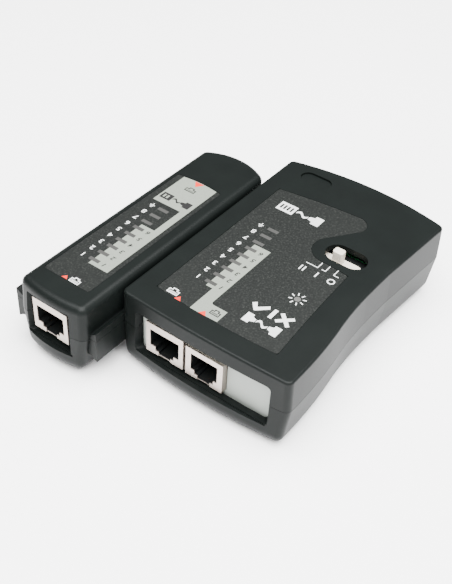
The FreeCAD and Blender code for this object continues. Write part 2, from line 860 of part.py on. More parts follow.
RESISTOR_ROWS = [-6.4 + 3.0 * i for i in range(6)]
node("master_resistors", group(*[axial_part(-3.5, y, board_high, 1.1, 6.0, "X")
                                 for y in RESISTOR_ROWS]))
capacitor = rod(8.0, -8.0, 13.4, 3.15, d.board_low - 13.4)
capacitor_groove = cut(rod(8.0, -8.0, 14.6, 3.6, 0.6), rod(8.0, -8.0, 14.0, 2.95, 2.0))
node("master_capacitor", cut(capacitor, capacitor_groove))


def screw(x, y, seat, up, long, head_radius):
    """A pan-head screw with a cross recess. Its shank points up or down from the seat."""
    head_high = 1.5
    head_low = seat - head_high if up else as_size(seat)
    shank_low = as_size(seat) if up else seat - long
    head = rod(x, y, head_low, head_radius, head_high)
    slot_low = head_low - 1.0 if up else head_low + 0.6
    recess = [box(x - u, x + u, y - v, y + v, slot_low, slot_low + 1.9)
              for u, v in ((1.3, 0.25), (0.25, 1.3))]
    return fuse(cut(head, *recess), rod(x, y, shank_low, SHANK_RADIUS, long))


node("master_case_screws", group(*[screw(x, y, HEAD_SEAT, True, 19.6, HEAD_RADIUS - 0.2)
                                   for x, y in CASE_POSTS]))
node("master_board_screws", group(*[screw(x, y, board_high, False, 8.0, 2.1)
                                    for x, y in BOARD_POSTS]))

# -------------------------------------------------------------------------- slide switch
# A slotted plate on the board. The knob has a wide slider plate of its own, which rests on
# it under the roof of the case, and a tongue in the slot.

frame_high = board_high + 0.9
PLATE_REACH = 9.6
TONGUE_LONG, TONGUE_WIDE = 3.0, 2.4
slot_reach = d.knob_step + TONGUE_LONG / 2 + 0.15
switch_box = box(d.well_x - 9.6, d.well_x + 9.6, switch_y - 6.0, switch_y + 6.2,
                 board_high, frame_high)
switch_slot = box(d.well_x - slot_reach, d.well_x + slot_reach,
                  switch_y - TONGUE_WIDE / 2 - 0.08, switch_y + TONGUE_WIDE / 2 + 0.08,
                  board_high - 1.0, frame_high + 1.0)
node("master_switch_frame", cut(switch_box, switch_slot))
node("master_switch_terminals", group(*[rod(x, y, d.board_low - 1.2, 0.4, d.board_thick + 1.2)
                                        for x, y in switch_pin_spots]))

knob_x = d.well_x - d.knob_step
plate_low, plate_high = frame_high + 0.05, frame_high + 1.1
plate_near, plate_far = switch_y - 3.2, switch_y + 2.0
slider = box(knob_x - PLATE_REACH, knob_x + PLATE_REACH, plate_near, plate_far,
             plate_low, plate_high)
tongue = box(knob_x - TONGUE_LONG / 2, knob_x + TONGUE_LONG / 2,
             switch_y - TONGUE_WIDE / 2, switch_y + TONGUE_WIDE / 2,
             board_high + 0.1, plate_low + 0.5)
grip = box(knob_x - d.knob_long / 2, knob_x + d.knob_long / 2,
           switch_y - d.knob_wide / 2, switch_y + d.knob_wide / 2,
           plate_low + 0.5, d.case_tall + d.knob_proud)


def is_upright(bounds):
    return bounds.ZLength > 1.0


def is_grip_rim(bounds):
    return bounds.ZMin > SIZES["case_tall"] + SIZES["knob_proud"] - 0.01


def is_far_end(bounds):
    """The two upright corners at the far side of the slider plate."""
    return bounds.ZLength > 0.9 and bounds.Center.y > SIZES["well_y"] + 2.0


grip = round_edges(round_edges(grip, as_size(0.9), is_upright), as_size(0.4), is_grip_rim)
slider = round_edges(slider, as_size(2.6), is_far_end)
node("master_switch_knob", fuse(slider, tongue, grip))

# ------------------------------------------------------------------------------ battery

battery_left, battery_right = -26.0, d.battery_long - 26.0
battery_near = 18.4
battery_far = battery_near + d.battery_wide
battery_mid = battery_near + d.battery_wide / 2
battery_high = d.battery_low + d.battery_tall
battery_block = box(battery_left, battery_right, battery_near, battery_far,
                    d.battery_low, battery_high)


def is_battery_edge(bounds):
    return bounds.XLength > 40.0


node("battery", round_edges(battery_block, as_size(2.4), is_battery_edge))
stud_spots = [(battery_mid - 6.35, 2.9), (battery_mid + 6.35, 3.6)]
stud_level = d.battery_low + d.battery_tall / 2
node("battery_terminals", group(*[
    cut(rod(battery_right, y, stud_level, radius, 2.1, "X"),
        rod(battery_right + 0.6, y, stud_level, radius - 0.8, 2.0, "X"))
    for y, radius in stud_spots]))
snap_left = battery_right + 1.9
snap = box(snap_left, snap_left + 3.0, battery_mid - 12.5, battery_mid + 12.5,
           stud_level - 5.6, stud_level + 5.6)


def is_snap_corner(bounds):
    return bounds.XLength > 2.5


snap = round_edges(snap, as_size(3.0), is_snap_corner)
snap_holes = [rod(snap_left - 1.0, y, stud_level, radius + 0.1, 1.8, "X")
              for y, radius in stud_spots]
node("battery_snap", cut(snap, *snap_holes))
for colour, across, level in (("red", 0.9, 2.2), ("black", 2.3, -1.4)):
    lead_level = stud_level + level
    run = [(battery_mid - 14.1, d.board_low), (battery_mid - 14.1, lead_level),
           (battery_mid - 12.5, lead_level)]
    node(f"battery_lead_{colour}", wire_run(snap_left + across, run, (0.7,), 0.6))

# -------------------------------------------------------------------------- remote unit

# The middle of the remote's shell is a little closer to the master than its jacks are.
shell_x = d.remote_x + d.remote_shift


def remote_outline(half, near, bow, far, inset=0.0):
    """The remote seen from above: straight sides and bowed ends."""
    half, near, far = half - inset, near - inset, far - inset
    low_x, high_x = shell_x - half, shell_x + half
    points = [(low_x, -near), (high_x, -near), (high_x, far), (low_x, far)]
    radii = [bow_radius(half * 2, bow), None, bow_radius(half * 2, d.remote_far_bow), None]
    return points, radii


def is_remote_post(bounds):
    upright = bounds.ZLength > 8.0 and bounds.XLength < 4.0
    return upright and not -60.0 < bounds.Center.y < 25.0


remote_seam_half = d.remote_half + d.remote_flare
remote_seam = remote_outline(remote_seam_half, d.remote_seam_near, d.remote_seam_bow,
                             d.remote_far + 0.2)
remote_rim = remote_outline(d.remote_half, d.remote_near, d.remote_bow, d.remote_far)
remote_foot = remote_outline(d.remote_foot_half, d.remote_foot_near, d.remote_foot_bow,
                             d.remote_foot_far)


def remote_inset(inset):
    """The remote's rim outline, moved in from its walls."""
    return remote_outline(d.remote_half, d.remote_near, d.remote_bow, d.remote_far,
                          as_size(inset))


def remote_slab(inset, low, high):
    points, radii = remote_inset(inset)
    return slab(points, low, high, radii=radii)


def remote_blank_top():
    block = loft((remote_seam, d.seam_up), (remote_rim, d.case_tall))
    block = round_edges(block, d.remote_post_round, is_remote_post)
    return round_edges(block, d.remote_top_round, is_top)


def remote_blank_base():
    block = loft((remote_seam, below_seam), (remote_foot, -GROUND_OFF))
    block = round_edges(block, d.remote_round, is_base)
    return ground_flat(round_edges(block, d.remote_post_round, is_remote_post))


REMOTE_BAY_LOW, REMOTE_BAY_HIGH = 9.4, 27.6
REMOTE_CHIN_UP = 8.9
REMOTE_NEAR_WALL, REMOTE_NEAR_FACE = -69.5, -70.8
REMOTE_FAR_WALL, REMOTE_FAR_FACE = 34.1, 35.6
REMOTE_BAY_HALF = 8.8
BAY_RUN = 8.0
BAY_FLARE = 0.55
END_WALL = 1.3
remote_board_high = d.remote_board_low + d.board_thick


def remote_bay(wall, outward):
    """The flared recess round a jack, from the end wall outwards."""
    mouth_half = REMOTE_BAY_HALF + BAY_FLARE * BAY_RUN
    edge = wall + outward * BAY_RUN
    near_half, far_half = REMOTE_BAY_HALF, mouth_half
    low_y, high_y = wall, edge
    if outward < 0:
        near_half, far_half = far_half, near_half
        low_y, high_y = high_y, low_y
    points = [(d.remote_x - near_half, low_y), (d.remote_x + near_half, low_y),
              (d.remote_x + far_half, high_y), (d.remote_x - far_half, high_y)]
    bay = slab(points, REMOTE_BAY_LOW, REMOTE_BAY_HIGH)
    return round_edges(bay, as_size(0.9), runs_inwards)


def end_wall(y_low, y_high, z_low, z_high):
    """A wall across the inside of the remote, behind the mouth of a jack."""
    wall = box(shell_x - 12.8, shell_x + 12.8, y_low, y_high, z_low, z_high)
    return common(wall, remote_slab(d.wall / 2 + 0.1, 0.0, roof + 1.0))


def jack_port(kind, low_y, high_y):
    """The hole in an end wall that a jack passes through."""
    half = kind.wide / 2 + 0.15
    return box(d.remote_x - half, d.remote_x + half, low_y, high_y,
               d.remote_jack_low - 0.15, d.remote_jack_low + kind.tall + 0.1)


def rail(side, root):
    """A rail on a side of the remote, from a root inside the wall of the shell."""
    return dovetail(side, root + side * d.remote_shift,
                    (d.rail_reach - d.rail_thick, d.rail_neck / 2),
                    d.rail_reach, d.rail_wide / 2, -d.rail_near, d.rail_far)


def remote_room(z_low, z_high):
    return box(-90, -20, -90, 60, z_low, z_high)


remote_posts = [(d.remote_x + 5.9, -44.0), (shell_x, 6.0)]
remote_board_posts = [(d.remote_x - 5.5, -34.0), (d.remote_x + 4.0, -4.0)]
REMOTE_POST = 2.6
TOP_ROOT, LOW_ROOT = 13.7, 12.6
remote_rails = [common(rail(side, TOP_ROOT), remote_room(d.seam_up, 40.0)) for side in (-1, 1)]
remote_top_walls = cut(remote_blank_top(), remote_slab(d.wall, d.seam_up - 1.0, roof),
                       remote_slab(d.wall / 2 - 0.1, d.seam_up - 1.0, d.seam_up + 1.4))
remote_ends = [
    end_wall(REMOTE_NEAR_WALL, REMOTE_NEAR_WALL + END_WALL, d.seam_up + 1.4, roof + 0.5),
    end_wall(REMOTE_FAR_WALL - END_WALL, REMOTE_FAR_WALL, d.seam_up + 1.4, roof + 0.5),
]
remote_bays = [remote_bay(REMOTE_NEAR_WALL, -1), remote_bay(REMOTE_FAR_WALL, 1)]
remote_ports = [jack_port(RJ45, -75.0, -60.0), jack_port(RJ11, 25.0, 40.0)]


def remote_label_slab(inset, low, high):
    inset = as_size(inset)
    left, right = d.remote_x - 10.7 + inset, d.remote_x + 10.3 - inset
    near, far = inset - 62.0, 12.1 - inset
    outline = [(left, near), (right, near), (right, far), (left, far)]
    radii = [None, None, bow_radius(21.0, 1.1), None]
    return round_edges(slab(outline, low, high, radii=radii), as_size(1.0), is_sheet_corner)


def is_sheet_corner(bounds):
    return bounds.ZLength > 0.2 and bounds.XLength < 0.01 and bounds.YLength < 0.01


node("remote_top_shell", cut(
    fuse(remote_top_walls, *remote_rails, *remote_ends,
         *[rod(x, y, remote_board_high + 0.05, REMOTE_POST, 30.4 - remote_board_high)
           for x, y in remote_posts]),
    *remote_bays,
    *remote_ports,
    remote_label_slab(0.0, label_low, d.case_tall + 1.0),
    *light_slots(d.remote_x, remote_light_spots, roof - 1.0, d.case_tall),
    *[rod(x, y, remote_board_high - 1.0, SHANK_RADIUS + 0.05, 3.4) for x, y in remote_posts],
))

# The sides of the lower shell lean inwards, and its hollow narrows with them.
remote_hollow = loft((remote_inset(6.9), d.wall), (remote_inset(4.2), 7.0),
                     (remote_inset(d.wall), d.seam_up + 1.0))
remote_lip = cut(remote_slab(d.wall / 2 + 0.1, d.seam_up - 2.0, d.seam_up + 1.2),
                 remote_slab(d.wall, d.seam_up - 3.0, d.seam_up + 2.0))
remote_low_rails = [common(rail(side, LOW_ROOT), remote_room(0.0, below_seam))
                    for side in (-1, 1)]
remote_low_ends = [
    end_wall(REMOTE_NEAR_WALL, REMOTE_NEAR_WALL + END_WALL, 8.5, d.seam_up + 1.2),
    end_wall(REMOTE_FAR_WALL - END_WALL, REMOTE_FAR_WALL, 8.5, d.seam_up + 1.2),
]
remote_chin = box(d.remote_x - 10.8, d.remote_x + 10.8, -85.0, -71.3, REMOTE_CHIN_UP,
                  REMOTE_BAY_LOW + 0.5)
node("remote_bottom_shell", cut(
    fuse(cut(remote_blank_base(), remote_hollow), remote_lip,
         *remote_low_rails, *remote_low_ends,
         *[rod(x, y, 2.0, REMOTE_POST, d.remote_board_low - 2.0)
           for x, y in remote_posts + remote_board_posts]),
    *remote_bays,
    *remote_ports,
    remote_chin,
    *[rod(x, y, -1.0, HEAD_RADIUS - 0.1, HEAD_SEAT + 1.0) for x, y in remote_posts],
    *[rod(x, y, 0.0, SHANK_RADIUS + 0.2, 30.0) for x, y in remote_posts],
    *[rod(x, y, 12.0, SHANK_RADIUS + 0.05, 20.0) for x, y in remote_board_posts],
))

node("remote_label", cut(
    remote_label_slab(d.label_gap, label_low, label_high),
    *light_boxes(d.remote_x, remote_light_spots, d.light_long + fit, d.light_wide + fit,
                 label_low - 1.0, label_high + 1.0),
))
node("remote_light_windows", group(*light_boxes(
    d.remote_x, remote_light_spots, d.light_long, d.light_wide, label_low, label_high)))

remote_jacks = [
    Jack("remote_rj45", RJ45, d.remote_x, d.remote_jack_low, REMOTE_NEAR_FACE, 1,
         d.remote_board_low),
    Jack("remote_rj11", RJ11, d.remote_x, d.remote_jack_low, REMOTE_FAR_FACE, -1,
         d.remote_board_low),
]
for jack in remote_jacks:
    jack.build()

remote_screw_spots = remote_posts + remote_board_posts
remote_board = common(
    box(d.remote_x - 11.6, d.remote_x + 11.6, REMOTE_NEAR_WALL + END_WALL,
        REMOTE_FAR_WALL - END_WALL, 0.0, 30.0),
    remote_slab(d.wall + 0.2, d.remote_board_low, remote_board_high),
)
node("remote_circuit_board", cut(
    remote_board,
    *[rod(x, y, d.remote_board_low - 1.0, SHANK_RADIUS + 0.2, 5.0)
      for x, y in remote_screw_spots],
    *[hole for jack in remote_jacks for hole in jack.board_holes()],
))
node("remote_status_leds", light_array(d.remote_x, remote_light_spots, remote_board_high))
DIODE_SPOTS = [(side * 6.6, y) for side in (-1, 1) for y in (-52.0, -24.0, -14.0, 16.0)]
node("remote_diodes", group(*[axial_part(d.remote_x + x, y, remote_board_high, 0.9, 4.0, "Y")
                              for x, y in DIODE_SPOTS]))
node("remote_case_screws", group(*[screw(x, y, HEAD_SEAT, True, 19.6, HEAD_RADIUS - 0.3)
                                   for x, y in remote_posts]))
node("remote_board_screws", group(*[screw(x, y, remote_board_high, False, 8.0, 2.1)
                                    for x, y in remote_board_posts]))

# ------------------------------------------------------------------------ check and save

doc.recompute()
for thing in doc.Objects:
    if "Invalid" in thing.State or "Error" in thing.State:
        raise RuntimeError(f"{thing.Name} failed: {thing.State}")
for thing in nodes:
    if thing.Shape.isNull() or not thing.Shape.isValid():
        raise RuntimeError(f"{thing.Label} has no valid shape")

os.makedirs("parts", exist_ok=True)
for thing in nodes:
    thing.Shape.exportStep(f"parts/{thing.Label}.step")
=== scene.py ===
# Looks of a network cable tester: materials, the print on its two labels, floor, light and
# camera. Scenes are in metres; the print is laid out in millimetres on the labels.
import json
import math

import bpy
from mathutils import Matrix, Vector


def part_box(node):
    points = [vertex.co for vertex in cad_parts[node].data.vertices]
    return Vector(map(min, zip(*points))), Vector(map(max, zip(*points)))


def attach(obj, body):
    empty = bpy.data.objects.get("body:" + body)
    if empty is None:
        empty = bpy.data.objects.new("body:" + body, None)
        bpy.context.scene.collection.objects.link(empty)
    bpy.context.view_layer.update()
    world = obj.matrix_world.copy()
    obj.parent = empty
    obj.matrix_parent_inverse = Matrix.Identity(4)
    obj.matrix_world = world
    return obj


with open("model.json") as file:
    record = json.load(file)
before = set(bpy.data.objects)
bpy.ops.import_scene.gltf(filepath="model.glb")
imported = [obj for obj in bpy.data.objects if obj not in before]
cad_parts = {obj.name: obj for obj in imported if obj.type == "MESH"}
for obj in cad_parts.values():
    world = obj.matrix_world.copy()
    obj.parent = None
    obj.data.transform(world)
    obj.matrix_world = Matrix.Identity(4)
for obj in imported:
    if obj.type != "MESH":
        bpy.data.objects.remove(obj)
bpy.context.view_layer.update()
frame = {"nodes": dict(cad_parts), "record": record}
nodes = frame["nodes"]
MM = 0.001


# ------------------------------------------------------------------------------ materials

def new_material(name):
    mat = bpy.data.materials.new(name)
    mat.use_nodes = True
    shader = mat.node_tree.nodes["Principled BSDF"]
    return mat, mat.node_tree, shader


def object_position(tree):
    return tree.nodes.new("ShaderNodeTexCoord").outputs["Object"]


def noise(tree, scale, detail=3.0, rough=0.5):
    node = tree.nodes.new("ShaderNodeTexNoise")
    node.inputs["Scale"].default_value = scale
    node.inputs["Detail"].default_value = detail
    node.inputs["Roughness"].default_value = rough
    tree.links.new(object_position(tree), node.inputs["Vector"])
    return node.outputs["Fac"]


def ramp(tree, source, stops):
    node = tree.nodes.new("ShaderNodeValToRGB")
    bar = node.color_ramp
    while len(bar.elements) < len(stops):
        bar.elements.new(0.5)
    for element, (place, colour) in zip(bar.elements, stops):
        element.position = place
        element.color = (*colour, 1.0)
    tree.links.new(source, node.inputs["Fac"])
    return node.outputs["Color"]


def bump(tree, shader, height, strength, distance):
    node = tree.nodes.new("ShaderNodeBump")
    node.inputs["Strength"].default_value = strength
    node.inputs["Distance"].default_value = distance
    tree.links.new(height, node.inputs["Height"])
    tree.links.new(node.outputs["Normal"], shader.inputs["Normal"])


def spread(tree, source, low, high):
    node = tree.nodes.new("ShaderNodeMapRange")
    node.inputs["To Min"].default_value = low
    node.inputs["To Max"].default_value = high
    tree.links.new(source, node.inputs["Value"])
    return node.outputs["Result"]


def plastic(name, dark, light, rough, grain=2600.0, grain_depth=0.00002, specular=0.5,
            rough_swing=0.06, strength=0.35):
    """Moulded plastic: a slow colour drift and a fine eroded grain."""
    mat, tree, shader = new_material(name)
    drift = noise(tree, 60.0, 4.0, 0.6)
    colour = ramp(tree, drift, [(0.3, dark), (0.7, light)])
    tree.links.new(colour, shader.inputs["Base Color"])
    fine = noise(tree, grain, 2.0, 0.5)
    tree.links.new(spread(tree, fine, rough - rough_swing, rough + rough_swing),
                   shader.inputs["Roughness"])
    shader.inputs["Specular IOR Level"].default_value = specular
    bump(tree, shader, fine, strength, grain_depth)
    return mat


def metal(name, dark, light, rough, brush=(1.0, 1.0, 1.0), scale=900.0):
    """Sheet metal with faint drawing lines along the long direction of the brush."""
    mat, tree, shader = new_material(name)
    stretch = tree.nodes.new("ShaderNodeMapping")
    stretch.inputs["Scale"].default_value = brush
    tree.links.new(object_position(tree), stretch.inputs["Vector"])
    lines = tree.nodes.new("ShaderNodeTexNoise")
    lines.inputs["Scale"].default_value = scale
    lines.inputs["Detail"].default_value = 3.0
    tree.links.new(stretch.outputs["Vector"], lines.inputs["Vector"])
    colour = ramp(tree, lines.outputs["Fac"], [(0.3, dark), (0.7, light)])
    tree.links.new(colour, shader.inputs["Base Color"])
    shader.inputs["Metallic"].default_value = 1.0
    tree.links.new(spread(tree, lines.outputs["Fac"], rough - 0.07, rough + 0.07),
                   shader.inputs["Roughness"])
    bump(tree, shader, lines.outputs["Fac"], 0.2, 0.00001)
    return mat


def pebbled(name):
    """The face label: dark grey film with fine light speckles and a leathery grain."""
    mat, tree, shader = new_material(name)
    cells = tree.nodes.new("ShaderNodeTexVoronoi")
    cells.inputs["Scale"].default_value = 2300.0
    tree.links.new(object_position(tree), cells.inputs["Vector"])
    grain = noise(tree, 1500.0, 3.0, 0.65)
    speck = ramp(tree, grain, [(0.3, (0.003, 0.0036, 0.0032)), (0.55, (0.006, 0.007, 0.0064)),
                               (0.75, (0.022, 0.023, 0.021))])
    tree.links.new(speck, shader.inputs["Base Color"])
    tree.links.new(spread(tree, cells.outputs["Distance"], 0.42, 0.62),
                   shader.inputs["Roughness"])
    shader.inputs["Specular IOR Level"].default_value = 0.14
    bump(tree, shader, grain, 0.35, 0.00003)
    return mat


def print_ink(name, colour, rough=0.5):
    """Screen-printed ink that is a little uneven."""
    mat, tree, shader = new_material(name)
    thin = tuple(c * 0.86 for c in colour)
    patch = noise(tree, 1800.0, 2.0, 0.6)
    tree.links.new(ramp(tree, patch, [(0.25, thin), (0.55, colour)]), shader.inputs["Base Color"])
    shader.inputs["Roughness"].default_value = rough
    shader.inputs["Specular IOR Level"].default_value = 0.3
    bump(tree, shader, patch, 0.15, 0.00001)
    return mat


CASE = plastic("case_plastic", (0.0028, 0.0038, 0.0035), (0.0038, 0.005, 0.0046), 0.42,
               specular=0.09)
LABEL = pebbled("label_film")
GREY_INK = print_ink("grey_ink", (0.15, 0.165, 0.14))
WHITE_INK = print_ink("white_ink", (0.5, 0.51, 0.5))
BLACK_INK = print_ink("black_ink", (0.006, 0.006, 0.006))
RED_INK = print_ink("red_ink", (0.5, 0.014, 0.004))
WINDOW = plastic("smoked_window", (0.028, 0.028, 0.027), (0.038, 0.038, 0.036), 0.4, 1800.0,
                 specular=0.2)
POWER_WINDOW = plastic("power_window", (0.05, 0.05, 0.048), (0.08, 0.08, 0.075), 0.4, 1800.0,
                       specular=0.2)
PANEL = plastic("end_panel", (0.24, 0.26, 0.24), (0.27, 0.29, 0.265), 0.5, 1200.0)
KNOB = plastic("knob_plastic", (0.48, 0.44, 0.37), (0.56, 0.52, 0.44), 0.38, 900.0)
SHIELD = metal("tinned_steel", (0.4, 0.345, 0.31), (0.52, 0.455, 0.41), 0.42, (1, 1, 6))
CONTACT = metal("gold_plate", (0.72, 0.5, 0.2), (0.86, 0.62, 0.28), 0.3)
STEEL = metal("zinc_steel", (0.5, 0.5, 0.5), (0.65, 0.65, 0.63), 0.4)
BLACK = plastic("black_plastic", (0.0025, 0.003, 0.003), (0.004, 0.0045, 0.0045), 0.5,
                specular=0.14)
BOARD = plastic("board_mask", (0.01, 0.09, 0.03), (0.02, 0.14, 0.05), 0.35, 500.0)
LED = plastic("light_bar", (0.03, 0.16, 0.05), (0.05, 0.22, 0.07), 0.25, 700.0)
RED_LED = plastic("power_light", (0.35, 0.02, 0.015), (0.5, 0.03, 0.02), 0.2, 700.0)
RESISTOR = plastic("resistor_lacquer", (0.5, 0.36, 0.2), (0.62, 0.46, 0.28), 0.35, 700.0)
DIODE = plastic("diode_glass", (0.3, 0.07, 0.03), (0.42, 0.1, 0.04), 0.15, 700.0)
SLEEVE = plastic("capacitor_sleeve", (0.02, 0.025, 0.09), (0.03, 0.04, 0.12), 0.3, 700.0)
BATTERY = plastic("battery_jacket", (0.05, 0.05, 0.055), (0.08, 0.08, 0.085), 0.3, 900.0)
SNAP = plastic("snap_vinyl", (0.012, 0.012, 0.012), (0.02, 0.02, 0.02), 0.45, 900.0)
RED_WIRE = plastic("red_wire", (0.4, 0.015, 0.01), (0.55, 0.02, 0.015), 0.4, 900.0)
BLACK_WIRE = plastic("black_wire", (0.01, 0.01, 0.01), (0.018, 0.018, 0.018), 0.4, 900.0)

SLOT_MATERIALS = {
    "case": CASE, "label": LABEL, "light_window": WINDOW, "power_window": POWER_WINDOW,
    "panel": PANEL, "jack_shield": SHIELD, "jack_insert": BLACK, "contact": CONTACT,
    "circuit_board": BOARD, "status_led": LED, "power_led": RED_LED, "chip": BLACK,
    "leg": STEEL, "resistor": RESISTOR, "diode": DIODE, "capacitor": SLEEVE,
    "switch_frame": BLACK, "knob": KNOB, "screw": STEEL, "battery": BATTERY,
    "battery_stud": STEEL, "snap": SNAP, "red_wire": RED_WIRE, "black_wire": BLACK_WIRE,
}
for entry in frame["record"]["subparts"]:
    mesh = nodes[entry["node"]].data
    mesh.materials.clear()
    mesh.materials.append(SLOT_MATERIALS[entry["material_slot"]])


# ---------------------------------------------------------------------------- label print
# Everything printed on a label is a thin raised layer. Words are left out: generic
# pictograms stand in their place, and only the numbers beside the lights are kept.

label_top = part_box("master_label")[1].z / MM
INK = 0.012          # half the thickness of a layer of ink, and the step between two layers


def lay_ink(name, curve, ink, body, level, place=(0.0, 0.0), turned=0.0, stretch=1.0):
    """Turn a filled flat curve into a thin layer of ink on the label."""
    curve.extrude = INK * MM
    carrier = bpy.data.objects.new(name, curve)
    bpy.context.scene.collection.objects.link(carrier)
    height = label_top + INK + INK * level
    carrier.location = (place[0] * MM, place[1] * MM, height * MM)
    carrier.rotation_euler.z = turned
    carrier.scale.x = stretch
    bpy.context.view_layer.update()
    mesh = bpy.data.meshes.new_from_object(carrier.evaluated_get(
        bpy.context.evaluated_depsgraph_get()))
    mesh.transform(carrier.matrix_world)
    bpy.data.objects.remove(carrier)
    mesh.materials.clear()
    mesh.materials.append(ink)
    layer = bpy.data.objects.new(name, mesh)
    bpy.context.scene.collection.objects.link(layer)
    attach(layer, body)


def print_shapes(name, outlines, ink, body, level=0):
    """Outlines are lists of (x, y) in millimetres; one inside another is a hole."""
    curve = bpy.data.curves.new(name, "CURVE")
    for outline in outlines:
        spline = curve.splines.new("POLY")
        spline.points.add(len(outline) - 1)
        for point, (x, y) in zip(spline.points, outline):
            point.co = (x * MM, y * MM, 0, 1)
        spline.use_cyclic_u = True
    curve.dimensions = "2D"
    curve.fill_mode = "BOTH"
    lay_ink(name, curve, ink, body, level)


def rect(x0, x1, y0, y1):
    return [(x0, y0), (x1, y0), (x1, y1), (x0, y1)]


def disc(x, y, radius, steps=32):
    return [(x + radius * math.cos(2 * math.pi * i / steps),
             y + radius * math.sin(2 * math.pi * i / steps)) for i in range(steps)]


def stroke(x0, y0, x1, y1, wide):
    """A straight line with a width."""
    run = Vector((x1 - x0, y1 - y0)).normalized() * (wide / 2)
    side = Vector((-run.y, run.x))
    ends = [Vector((x0, y0)) - run, Vector((x1, y1)) + run]
    return [tuple(ends[0] + side), tuple(ends[0] - side),
            tuple(ends[1] - side), tuple(ends[1] + side)]


SIZE_PER_HEIGHT = 1.42      # font size of a digit that is 1 mm tall


def numeral(name, text, x, y, tall, ink, body, level=0, lean=0.0):
    """A number beside a light, upright when it is read from the far end."""
    curve = bpy.data.curves.new(name, "FONT")
    curve.body = text
    curve.size = tall * SIZE_PER_HEIGHT * MM
    curve.align_x = "CENTER"
    curve.align_y = "CENTER"
    curve.shear = lean
    curve.offset = 0.05 * MM
    curve.resolution_u = 4
    lay_ink(name, curve, ink, body, level, (x, y), turned=math.pi, stretch=1.15)


def triangle(x, base_y, tip_y, half):
    return [(x - half, base_y), (x + half, base_y), (x, tip_y)]


def jack_outline(x, y, w, t, s):
    """Face of a modular jack of half width w and half height t, drawn a distance s inside."""
    step = t * 0.45
    return [(x - w + s, y - t + s), (x + w - s, y - t + s), (x + w - s, y + step - s),
            (x + w * 0.5 - s, y + step - s), (x + w * 0.5 - s, y + t - s),
            (x - w * 0.5 + s, y + t - s), (x - w * 0.5 + s, y + step - s),
            (x - w + s, y + step - s)]


def jack_icon(x, y, wide, tall, pins):
    """Outline of a modular jack with its contacts, latch side towards +Y."""
    w, t, line = wide / 2, tall / 2, 0.42
    shapes = [jack_outline(x, y, w, t, 0), jack_outline(x, y, w, t, line)]
    room = wide - 2 * line - 0.5
    for i in range(pins):
        px = x - room / 2 + room * (i + 0.5) / pins
        shapes.append(rect(px - 0.13, px + 0.13, y - t + line + 0.2, y - t + line + 0.85))
    return shapes


def earth_sign(x, y, size):
    """The usual earth sign: an upright line on three shorter and shorter bars."""
    w = 0.34 * size
    return [stroke(x, y + 1.1 * size, x, y + 0.25 * size, w),
            stroke(x - 0.95 * size, y, x + 0.95 * size, y, w),
            stroke(x - 0.6 * size, y - 0.62 * size, x + 0.6 * size, y - 0.62 * size, w),
            stroke(x - 0.25 * size, y - 1.2 * size, x + 0.25 * size, y - 1.2 * size, w)]


LIGHTS = 9
NUMBERED = 8            # the ninth light has the earth sign
PAIRED = 6              # the first six also have a number on the grey print
GAP_HALF = 0.82         # half the gap that the grey print leaves for a light window
FIRST_LIGHT = 0.8       # from the near edge of the light windows to the first light


def light_rows(windows_box):
    """Where the nine lights of a unit are, along Y."""
    return [windows_box[0].y / MM + FIRST_LIGHT + PITCH * i for i in range(LIGHTS)]


def light_gaps(left, right, rows):
    """Left edge of a grey print, which leaves a gap for each of the first six lights."""
    edge = []
    for y in rows[:PAIRED]:
        edge += [(left, y - GAP_HALF), (right, y - GAP_HALF),
                 (right, y + GAP_HALF), (left, y + GAP_HALF)]
    return edge


def mark_lights(unit, rows, number_x, pair_x):
    """The numbers beside the lights of a unit, and the earth sign beside the last one."""
    for i, y in enumerate(rows):
        if i < NUMBERED:
            numeral(f"{unit}_number_{i + 1}", str(i + 1), number_x, y, 2.1, WHITE_INK, unit)
        if i < PAIRED:
            numeral(f"{unit}_pair_{i + 1}", str(i + 1), pair_x, y, 1.9, BLACK_INK, unit, 1, 0.18)
    for i, shape in enumerate(earth_sign(number_x, rows[NUMBERED] + 0.1, 0.95)):
        print_shapes(f"{unit}_earth_{i}", [shape], WHITE_INK, unit)


PITCH = 4.7
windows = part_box("master_light_windows")
rows = light_rows(windows)
window_right = windows[1].x / MM + 0.05
column_left = window_right - 2.85
column_right = column_left + 7.1
BLOCK_NEAR = -39.9      # near edge of the grey block, left of which its foot runs on
FOOT_LEFT = -11.4
CURL = 1.2              # radius of the block's rounded corner

curl = [(column_right + CURL - CURL * math.sin(a), BLOCK_NEAR + CURL - CURL * math.cos(a))
        for a in [math.pi / 2 * i / 6 for i in range(7)]]
grey_block = [(column_left, rows[0] - 2.2)]
grey_block += light_gaps(column_left, window_right, rows)
grey_block += [(column_left, rows[5] + 3.1), (column_right, rows[5] + 3.1)]
grey_block += list(reversed(curl))
grey_block += [(-0.2, BLOCK_NEAR), (-0.2, -45.75), (-6.0, -45.98), (FOOT_LEFT, -45.95),
               (FOOT_LEFT, rows[0] - 2.2)]
print_shapes("master_grey_print", [grey_block], GREY_INK, "master")
mark_lights("master", rows, number_x=-19.1, pair_x=-9.15)

print_shapes("master_arrow_left", [triangle(-17.1, -45.62, -43.6, 1.35)], RED_INK, "master", 1)
print_shapes("master_arrow_right", [triangle(-6.3, -45.95, -43.9, 1.5)], RED_INK, "master", 1)
print_shapes("master_jack_mark_8", jack_icon(-20.6, -42.9, 4.4, 3.0, 8), WHITE_INK, "master")
print_shapes("master_jack_mark_6", jack_icon(-3.1, -42.6, 3.8, 2.8, 6), BLACK_INK, "master", 1)


